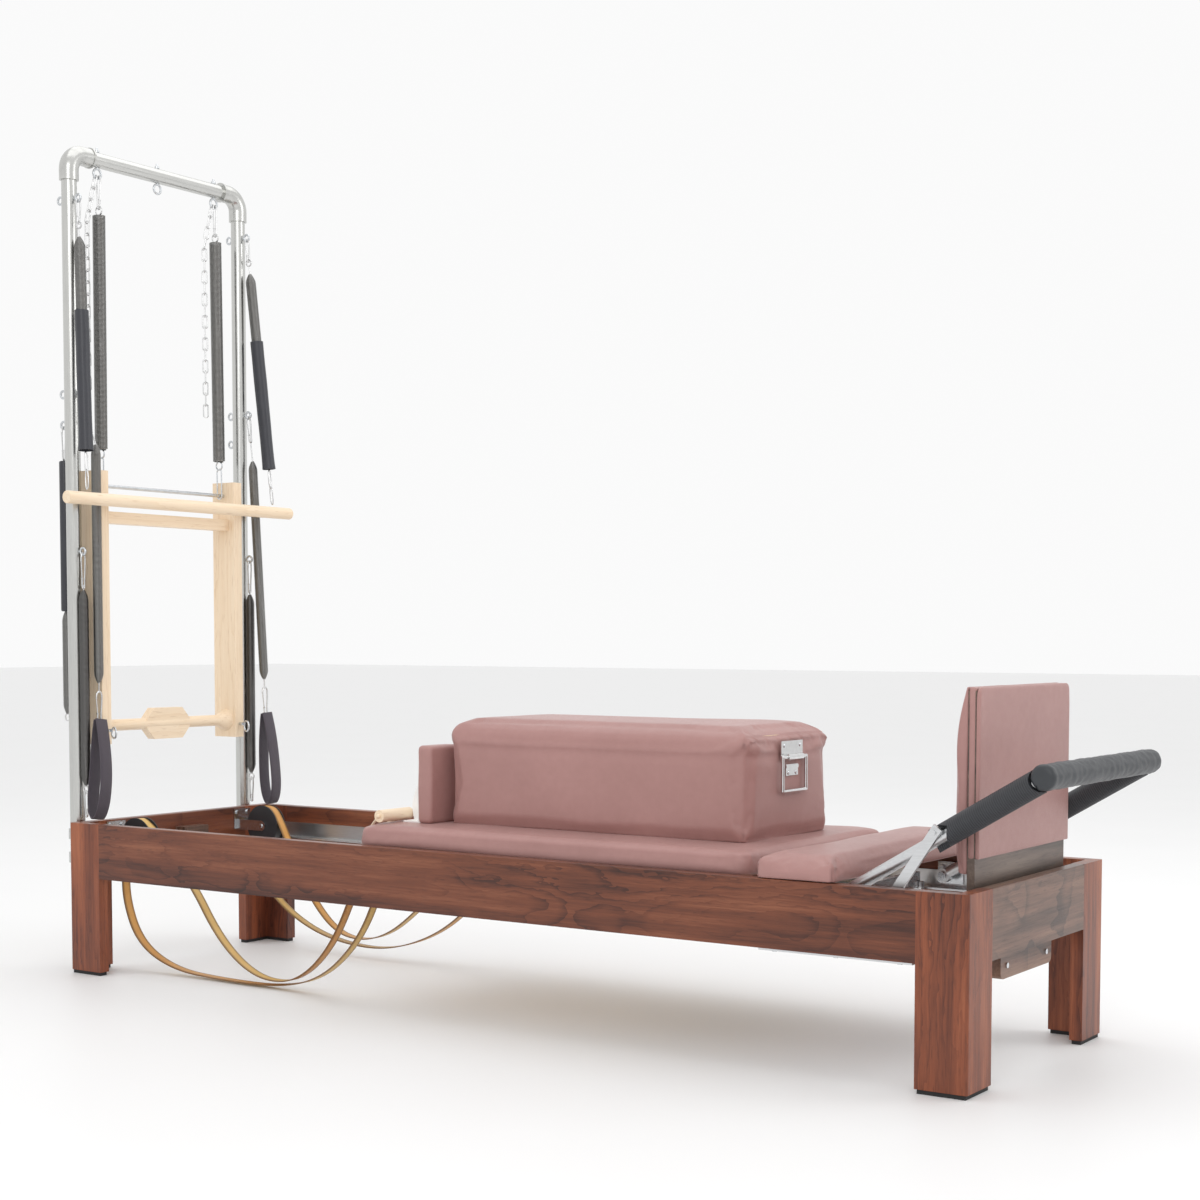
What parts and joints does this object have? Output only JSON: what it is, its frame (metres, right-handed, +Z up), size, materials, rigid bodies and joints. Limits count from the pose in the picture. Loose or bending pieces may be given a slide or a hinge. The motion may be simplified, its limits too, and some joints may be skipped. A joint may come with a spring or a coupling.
{
  "type": "pilates reformer",
  "caption": "Walnut exercise bed with a rolling padded carriage, steel spring tower, sitting box, jump board, footbar and leather straps.",
  "frame": {"origin": "on the floor under the middle of the machine's bounding box, on the bed's centre line", "axes": "+X along the bed towards the footbar, +Z up, +Y to the right side seen from the foot end looking to the tower"},
  "size_m": [2.667, 0.776, 2.086],
  "materials": {
    "walnut": "satin lacquered walnut",
    "maple": "clear satin maple",
    "plywood": "birch plywood",
    "vinyl": "soft dusty rose upholstery",
    "leather": "tan harness leather",
    "webbing": "dark woven webbing",
    "rubber": "black rubber",
    "black_plastic": "black moulded plastic",
    "black_sleeve": "black ribbed sleeve and leatherette",
    "stainless": "brushed stainless",
    "zinc_steel": "bright zinc",
    "chrome": "polished",
    "spring_steel": "dark drawn wire",
    "aluminium": "satin",
    "white_steel": "white powder coat"
  },
  "bodies": {
    "frame": {"side_rails": "walnut", "head_end_board": "walnut", "foot_end_board": "walnut", "legs_head": "walnut", "legs_foot": "walnut", "leg_pads": "rubber", "carriage_tracks": "aluminium", "end_blocks": "walnut", "frame_fasteners": "zinc_steel", "tower_posts": "stainless", "tower_crossbar": "stainless", "tower_elbows": "stainless", "tower_saddles": "stainless", "tower_eyebolts": "zinc_steel", "pulley_brackets": "zinc_steel", "footbar_brackets": "zinc_steel", "carriage_springs": "spring_steel", "strap_left": "leather", "strap_right": "leather", "arm_springs": "spring_steel", "webbing_left": "webbing", "webbing_right": "webbing"},
    "pulley_left_wheel": {"pulley_left": "black_plastic"},
    "pulley_right_wheel": {"pulley_right": "black_plastic"},
    "carriage": {"carriage_frame": "plywood", "carriage_cushion": "vinyl", "wheel_axles": "zinc_steel", "strap_handles": "maple"},
    "head_wheels": {"wheels_head": "black_plastic"},
    "foot_wheels": {"wheels_foot": "black_plastic"},
    "shoulder_rests": {"shoulder_plates": "white_steel", "shoulder_pads": "vinyl"},
    "sitting_box": {"box_cover": "vinyl", "box_core": "plywood", "box_handle_plates": "chrome"},
    "head_bail": {"box_bail_head": "chrome"},
    "foot_bail": {"box_bail_foot": "chrome"},
    "spring_bar": {"spring_bar": "zinc_steel"},
    "footbar": {"footbar_frame": "aluminium", "footbar_sleeves": "black_sleeve", "footbar_pad": "black_sleeve"},
    "props": {"footbar_props": "aluminium"},
    "jump_board": {"jump_board_panel": "walnut", "jump_board_cushion": "vinyl"},
    "platform": {"foot_platform": "vinyl"},
    "roll_down_hanger": {"roll_down_hooks": "chrome", "roll_down_springs": "spring_steel"},
    "roll_down_bar": {"roll_down_bar": "maple", "roll_down_sleeves": "black_sleeve"},
    "push_hanger": {"push_frame_hooks": "chrome", "push_frame_springs": "spring_steel"},
    "push_frame": {"push_frame_plates": "maple", "push_frame_board": "maple", "push_frame_rod": "chrome", "push_frame_foot_bar": "maple"},
    "chain_left": {"chain_left": "chrome"},
    "chain_right": {"chain_right": "chrome"},
    "leg_spring_left": {"leg_spring_left": "spring_steel"},
    "leg_spring_right": {"leg_spring_right": "spring_steel"},
    "rear_spring": {"rear_spring": "spring_steel"}
  },
  "joints": [
    {"name": "carriage_slide", "type": "slide", "parent": "frame", "child": "carriage", "axis": [-1, 0, 0], "range_m": [0, 0.66], "deforming": ["carriage_springs", "strap_left", "strap_right"]},
    {"name": "head_wheels_roll", "type": "hinge", "parent": "carriage", "child": "head_wheels", "pos_m": [-0.2398, 0, 0.3204], "axis": [0, -1, 0], "continuous": true},
    {"name": "foot_wheels_roll", "type": "hinge", "parent": "carriage", "child": "foot_wheels", "pos_m": [0.6052, 0, 0.3204], "axis": [0, -1, 0], "continuous": true},
    {"name": "pulley_left_spin", "type": "hinge", "parent": "frame", "child": "pulley_left_wheel", "pos_m": [-1.1328, -0.222, 0.334], "axis": [0, 1, 0], "continuous": true},
    {"name": "pulley_right_spin", "type": "hinge", "parent": "frame", "child": "pulley_right_wheel", "pos_m": [-1.1328, 0.222, 0.334], "axis": [0, 1, 0], "continuous": true},
    {"name": "shoulder_rests_lift", "type": "slide", "parent": "carriage", "child": "shoulder_rests", "axis": [0, 0, 1], "range_m": [0, 0.12]},
    {"name": "box_lift", "type": "slide", "parent": "carriage", "child": "sitting_box", "axis": [0, 0, 1], "range_m": [0, 0.4]},
    {"name": "head_bail_swing", "type": "hinge", "parent": "sitting_box", "child": "head_bail", "pos_m": [-0.1758, 0, 0.596], "axis": [0, 1, 0], "range_deg": [0, 90]},
    {"name": "foot_bail_swing", "type": "hinge", "parent": "sitting_box", "child": "foot_bail", "pos_m": [0.6332, 0, 0.596], "axis": [0, -1, 0], "range_deg": [0, 90]},
    {"name": "spring_bar_lift", "type": "slide", "parent": "frame", "child": "spring_bar", "axis": [0, 0, 1], "range_m": [0, 0.03]},
    {"name": "footbar_tilt", "type": "hinge", "parent": "frame", "child": "footbar", "pos_m": [0.8552, 0, 0.33], "axis": [0, -1, 0], "range_deg": [-13, 2.5]},
    {"name": "props_swing", "type": "hinge", "parent": "footbar", "child": "props", "pos_m": [1.09777, 0, 0.48565], "axis": [0, -1, 0], "range_deg": [-15, 15]},
    {"name": "jump_board_lift", "type": "slide", "parent": "frame", "child": "jump_board", "axis": [0, 0, 1], "range_m": [0, 0.45]},
    {"name": "platform_lift", "type": "slide", "parent": "frame", "child": "platform", "axis": [0, 0, 1], "range_m": [0, 0.2]},
    {"name": "roll_down_swing", "type": "hinge", "parent": "frame", "child": "roll_down_hanger", "pos_m": [-1.2548, 0, 1.94], "axis": [0, -1, 0], "range_deg": [0, 75]},
    {"name": "roll_down_pull", "type": "slide", "parent": "roll_down_hanger", "child": "roll_down_bar", "axis": [0.0771, 0, -0.997], "range_m": [0, 0.25], "stiffness_N_per_m": 150, "springref_m": -0.12, "deforming": ["roll_down_springs"]},
    {"name": "push_swing", "type": "hinge", "parent": "frame", "child": "push_hanger", "pos_m": [-1.2878, 0, 2.009], "axis": [0, -1, 0], "range_deg": [-50, 0]},
    {"name": "push_pull", "type": "slide", "parent": "push_hanger", "child": "push_frame", "axis": [0.009, 0, -1], "range_m": [0, 0.16], "stiffness_N_per_m": 350, "springref_m": -0.16, "deforming": ["push_frame_springs"]},
    {"name": "chain_left_swing", "type": "hinge", "parent": "frame", "child": "chain_left", "pos_m": [-1.2878, 0, 2.01009], "axis": [0, -1, 0], "range_deg": [-20, 20]},
    {"name": "chain_right_swing", "type": "hinge", "parent": "frame", "child": "chain_right", "pos_m": [-1.2878, 0, 2.01009], "axis": [0, -1, 0], "range_deg": [-20, 20]},
    {"name": "leg_spring_left_swing", "type": "hinge", "parent": "frame", "child": "leg_spring_left", "pos_m": [-1.2548, -0.29, 1.061], "axis": [0, -1, 0], "range_deg": [0, 70]},
    {"name": "leg_spring_right_swing", "type": "hinge", "parent": "frame", "child": "leg_spring_right", "pos_m": [-1.2548, 0.29, 1.052], "axis": [1, 0, 0], "range_deg": [0, 60]},
    {"name": "rear_spring_swing", "type": "hinge", "parent": "frame", "child": "rear_spring", "pos_m": [-1.3208, -0.29, 1.38], "axis": [0, 1, 0], "range_deg": [0, 60]}
  ],
  "couplings": [
    {"joint": "head_wheels_roll", "follows": "carriage_slide", "rad_per_m": 50},
    {"joint": "foot_wheels_roll", "follows": "carriage_slide", "rad_per_m": 50},
    {"joint": "props_swing", "follows": "footbar_tilt", "ratio": 0.94}
  ]
}
